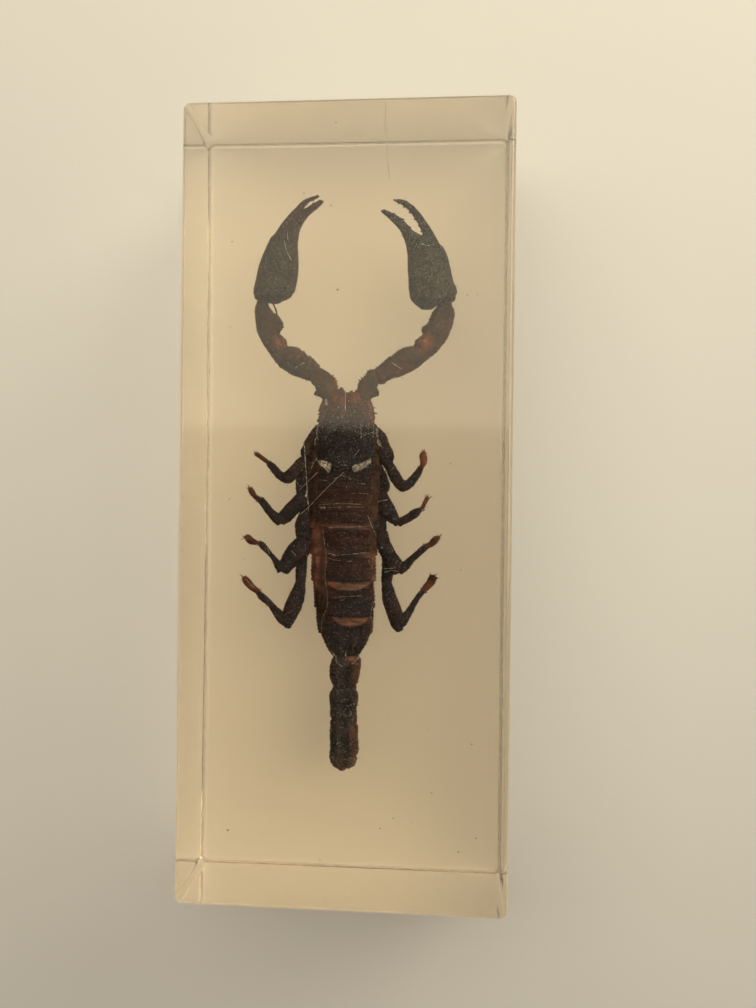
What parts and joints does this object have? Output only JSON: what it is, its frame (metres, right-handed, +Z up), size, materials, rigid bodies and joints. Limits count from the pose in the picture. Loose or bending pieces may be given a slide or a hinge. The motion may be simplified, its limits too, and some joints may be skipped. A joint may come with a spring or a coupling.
{
  "type": "scorpion in resin block",
  "caption": "Dried scorpion with open pincers, spread flat and sealed in a clear, slightly yellowed rectangular resin block with softened edges.",
  "frame": {"origin": "middle of the block's underside, which is its large lower face", "axes": "+Z up through the block's thickness, +Y along its length toward the scorpion's pincers, +X across its width"},
  "size_m": [0.045, 0.109, 0.0225],
  "materials": {
    "resin": "clear casting resin, aged slightly yellow, polished, with fine scratches",
    "scorpion_shell": "dried chitin, blackish brown, semi-gloss and finely granular"
  },
  "bodies": {
    "root": {"resin_lower": "resin", "resin_upper": "resin", "scorpion": "scorpion_shell"}
  },
  "joints": []
}
